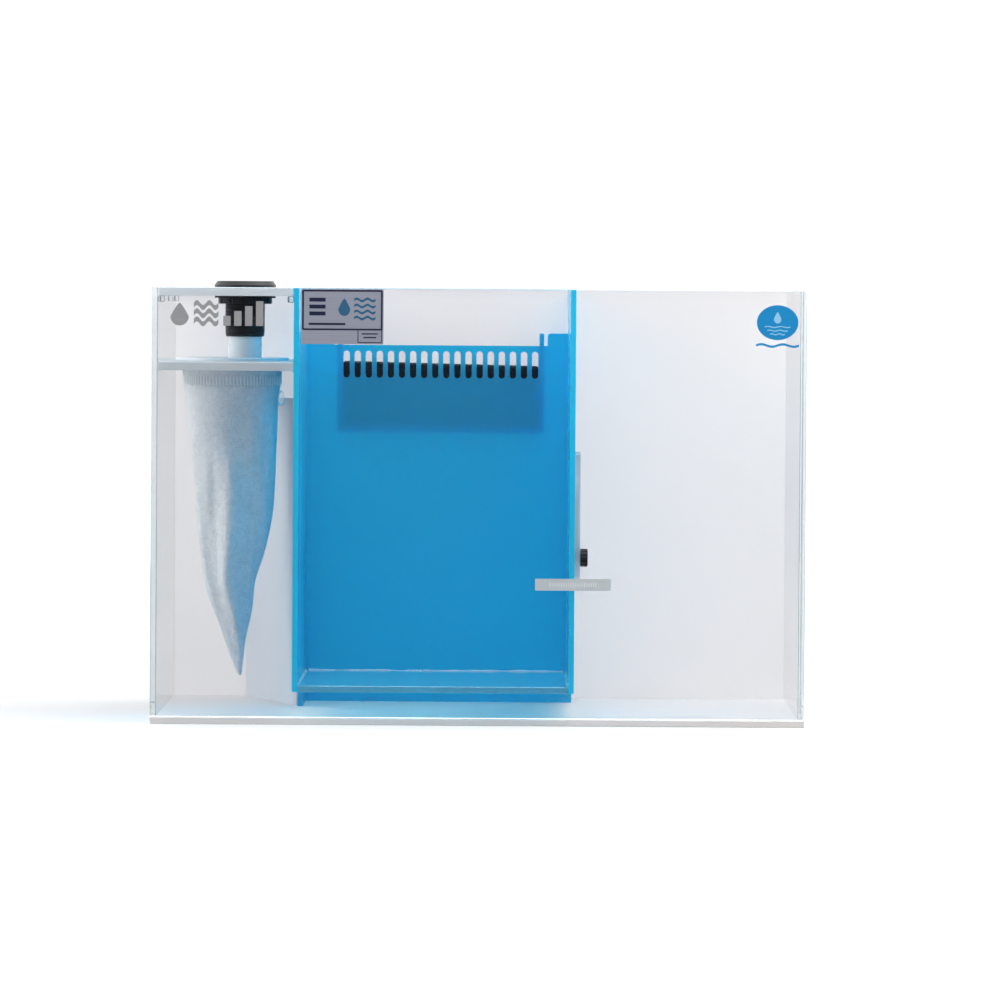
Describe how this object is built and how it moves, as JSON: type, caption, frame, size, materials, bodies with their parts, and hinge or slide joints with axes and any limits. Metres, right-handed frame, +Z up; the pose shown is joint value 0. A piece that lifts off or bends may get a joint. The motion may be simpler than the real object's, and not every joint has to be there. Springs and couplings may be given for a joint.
{
  "type": "aquarium sump",
  "caption": "Clear acrylic aquarium sump with a filter-sock chamber, a blue slotted refugium box with an adjustable overflow gate, and an open return chamber.",
  "frame": {"origin": "centre of the tank's underside", "axes": "+X to the right seen from the front, +Y to the back, +Z up"},
  "size_m": [0.6096, 0.3559, 0.4124],
  "materials": {
    "clear_acrylic": "polished clear",
    "white_acrylic": "milky translucent",
    "blue_acrylic": "translucent cyan blue",
    "frosted_acrylic": "frosted",
    "black_foam": "open-cell foam",
    "felt": "needled felt",
    "ring_plastic": "moulded",
    "black_abs": "moulded satin",
    "gasket_rubber": "smooth",
    "white_pvc": "extruded",
    "black_nylon": "moulded",
    "silver_foil": "brushed foil",
    "label_foil": "printed foil",
    "grey_vinyl": "cut vinyl",
    "blue_vinyl": "printed vinyl"
  },
  "bodies": {
    "tank": {"bottom_panel": "white_acrylic", "front_panel": "clear_acrylic", "back_panel": "white_acrylic", "left_end_panel": "clear_acrylic", "right_end_panel": "clear_acrylic", "left_partition": "blue_acrylic", "right_partition": "blue_acrylic", "comb_panel": "blue_acrylic", "refugium_floor": "clear_acrylic", "foam_tray_left": "blue_acrylic", "foam_tray_right": "blue_acrylic", "foam_tray_floor": "blue_acrylic", "sock_shelf": "white_acrylic", "diagonal_baffle": "white_acrylic", "lid_ledge_left": "clear_acrylic", "lid_ledge_right": "clear_acrylic", "gate_rail_front": "clear_acrylic", "gate_rail_back": "clear_acrylic", "gate_insert": "blue_acrylic", "level_strip": "silver_foil", "info_label": "label_foil", "chamber_decal": "grey_vinyl", "maker_disc": "blue_vinyl"},
    "drain_lid": {"lid_plate": "clear_acrylic", "bulkhead_body": "black_abs", "bulkhead_gasket": "gasket_rubber", "bulkhead_nut": "black_abs", "drain_pipe": "white_pvc"},
    "filter_sock": {"sock_ring": "ring_plastic", "sock_bag": "felt"},
    "foam": {"foam_block": "black_foam"},
    "gate": {"gate_plate": "frosted_acrylic"},
    "thumb_knob": {"gate_washer": "black_nylon", "gate_knob": "black_nylon", "gate_screw": "black_nylon"}
  },
  "joints": [
    {"name": "lid_lift", "type": "slide", "parent": "tank", "child": "drain_lid", "axis": [0, 0, 1], "range_m": [0, 0.36]},
    {"name": "sock_lift", "type": "slide", "parent": "tank", "child": "filter_sock", "axis": [0, 0, 1], "range_m": [0, 0.31]},
    {"name": "foam_lift", "type": "slide", "parent": "tank", "child": "foam", "axis": [0, 0, 1], "range_m": [0, 0.15]},
    {"name": "gate_slide", "type": "slide", "parent": "tank", "child": "gate", "axis": [0, 0, 1], "range_m": [-0.07, 0]},
    {"name": "knob_turn", "type": "hinge", "parent": "tank", "child": "thumb_knob", "pos_m": [0.1, -0.0218, 0.1512], "axis": [1, 0, 0], "range_deg": [0, 360]}
  ],
  "couplings": [
    {"joint": "sock_lift", "follows": "lid_lift", "ratio": 0.86}
  ]
}
